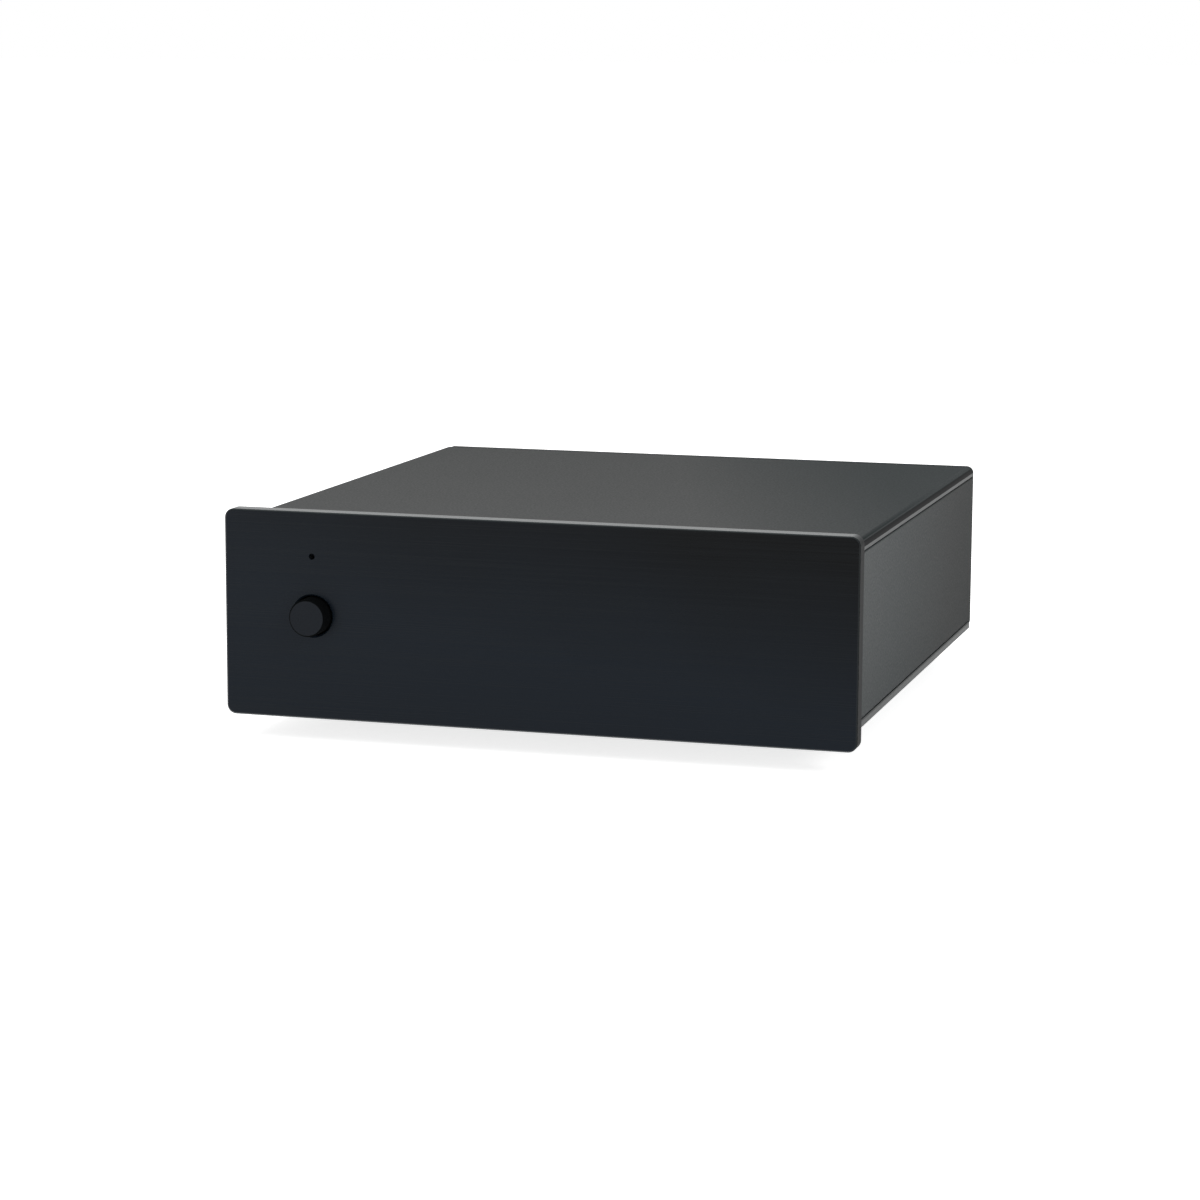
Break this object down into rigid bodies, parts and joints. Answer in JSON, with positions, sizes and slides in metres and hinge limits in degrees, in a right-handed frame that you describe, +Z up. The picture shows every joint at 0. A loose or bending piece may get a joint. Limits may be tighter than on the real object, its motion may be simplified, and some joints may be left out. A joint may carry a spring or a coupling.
{
  "type": "phono preamplifier",
  "caption": "Small box-shaped phono preamplifier: thick front plate with one round push button and a pilot light, phono sockets, ground post and supply jack behind.",
  "frame": {"origin": "under the middle of the whole object, on the surface that it stands on", "axes": "+X to the right as seen from the front, +Y to the back, where the sockets are, +Z up"},
  "size_m": [0.103, 0.119, 0.037],
  "materials": {
    "front_plate_anodised": "black anodised, finely brushed across",
    "case_anodised": "black anodised, fine satin blast",
    "zinc_plated_steel": "zinc plated",
    "blackened_steel": "black zinc, satin",
    "foot_rubber": "moulded, matt",
    "switch_plastic": "moulded",
    "led_epoxy": "clear tinted epoxy",
    "black_nylon": "moulded",
    "white_nylon": "moulded",
    "red_nylon": "moulded",
    "board_laminate": "solder resist",
    "nickelled_brass": "nickel plated",
    "gold_plating": "gold plated",
    "capacitor_sleeve": "heat-shrunk sleeve",
    "film_capacitor_epoxy": "dipped and cast epoxy",
    "chip_epoxy": "moulded",
    "setting_switch_plastic": "moulded"
  },
  "bodies": {
    "case": {"board_pillars": "nickelled_brass", "board_screws": "zinc_plated_steel", "bottom_cover": "case_anodised", "circuit_board": "board_laminate", "electrolytic_capacitors": "capacitor_sleeve", "film_capacitors": "film_capacitor_epoxy", "foot_front_left": "foot_rubber", "foot_front_right": "foot_rubber", "foot_rear_left": "foot_rubber", "foot_rear_right": "foot_rubber", "front_plate": "front_plate_anodised", "front_plate_screws": "zinc_plated_steel", "front_subframe": "zinc_plated_steel", "ground_lock_nut": "nickelled_brass", "ground_post": "gold_plating", "in_left_socket_body": "black_nylon", "in_left_socket_insulator": "white_nylon", "in_left_socket_shell": "gold_plating", "in_right_socket_body": "black_nylon", "in_right_socket_insulator": "red_nylon", "in_right_socket_shell": "gold_plating", "led_holder": "black_nylon", "left_rail": "case_anodised", "op_amp_chips": "chip_epoxy", "out_left_socket_body": "black_nylon", "out_left_socket_insulator": "white_nylon", "out_left_socket_shell": "gold_plating", "out_right_socket_body": "black_nylon", "out_right_socket_insulator": "red_nylon", "out_right_socket_shell": "gold_plating", "power_led": "led_epoxy", "power_switch": "switch_plastic", "rear_panel": "case_anodised", "rear_panel_screws": "blackened_steel", "right_rail": "case_anodised", "setting_switch_left": "setting_switch_plastic", "setting_switch_right": "setting_switch_plastic", "socket_contacts": "gold_plating", "subframe_screws": "zinc_plated_steel", "supply_jack": "black_nylon", "supply_jack_pin": "nickelled_brass", "top_cover": "case_anodised", "voltage_regulator": "chip_epoxy"},
    "button": {"power_button": "front_plate_anodised", "switch_plunger": "white_nylon"},
    "washer": {"ground_washer": "nickelled_brass"},
    "thumb_nut": {"ground_thumb_nut": "gold_plating"},
    "slider_left_1": {"setting_slider_left_1": "white_nylon"},
    "slider_left_2": {"setting_slider_left_2": "white_nylon"},
    "slider_left_3": {"setting_slider_left_3": "white_nylon"},
    "slider_left_4": {"setting_slider_left_4": "white_nylon"},
    "slider_left_5": {"setting_slider_left_5": "white_nylon"},
    "slider_right_1": {"setting_slider_right_1": "white_nylon"},
    "slider_right_2": {"setting_slider_right_2": "white_nylon"},
    "slider_right_3": {"setting_slider_right_3": "white_nylon"},
    "slider_right_4": {"setting_slider_right_4": "white_nylon"},
    "slider_right_5": {"setting_slider_right_5": "white_nylon"}
  },
  "joints": [
    {"name": "power_button_press", "type": "slide", "parent": "case", "child": "button", "axis": [0, 1, 0], "range_m": [0, 0.0022], "stiffness_N_per_m": 900, "springref_m": -0.001},
    {"name": "ground_washer_slide", "type": "slide", "parent": "case", "child": "washer", "axis": [0, 1, 0], "range_m": [0, 0.003]},
    {"name": "ground_thumb_nut_turn", "type": "hinge", "parent": "washer", "child": "thumb_nut", "pos_m": [0.007, 0.0521, 0.02055], "axis": [0, 1, 0], "range_deg": [0, 1542.86]},
    {"name": "setting_left_1", "type": "slide", "parent": "case", "child": "slider_left_1", "axis": [0, 1, 0], "range_m": [0, 0.0016]},
    {"name": "setting_left_2", "type": "slide", "parent": "case", "child": "slider_left_2", "axis": [0, 1, 0], "range_m": [0, 0.0016]},
    {"name": "setting_left_3", "type": "slide", "parent": "case", "child": "slider_left_3", "axis": [0, 1, 0], "range_m": [0, 0.0016]},
    {"name": "setting_left_4", "type": "slide", "parent": "case", "child": "slider_left_4", "axis": [0, 1, 0], "range_m": [0, 0.0016]},
    {"name": "setting_left_5", "type": "slide", "parent": "case", "child": "slider_left_5", "axis": [0, 1, 0], "range_m": [0, 0.0016]},
    {"name": "setting_right_1", "type": "slide", "parent": "case", "child": "slider_right_1", "axis": [0, 1, 0], "range_m": [0, 0.0016]},
    {"name": "setting_right_2", "type": "slide", "parent": "case", "child": "slider_right_2", "axis": [0, 1, 0], "range_m": [0, 0.0016]},
    {"name": "setting_right_3", "type": "slide", "parent": "case", "child": "slider_right_3", "axis": [0, 1, 0], "range_m": [0, 0.0016]},
    {"name": "setting_right_4", "type": "slide", "parent": "case", "child": "slider_right_4", "axis": [0, 1, 0], "range_m": [0, 0.0016]},
    {"name": "setting_right_5", "type": "slide", "parent": "case", "child": "slider_right_5", "axis": [0, 1, 0], "range_m": [0, 0.0016]}
  ],
  "couplings": [
    {"joint": "ground_thumb_nut_turn", "follows": "ground_washer_slide", "rad_per_m": 8976}
  ]
}
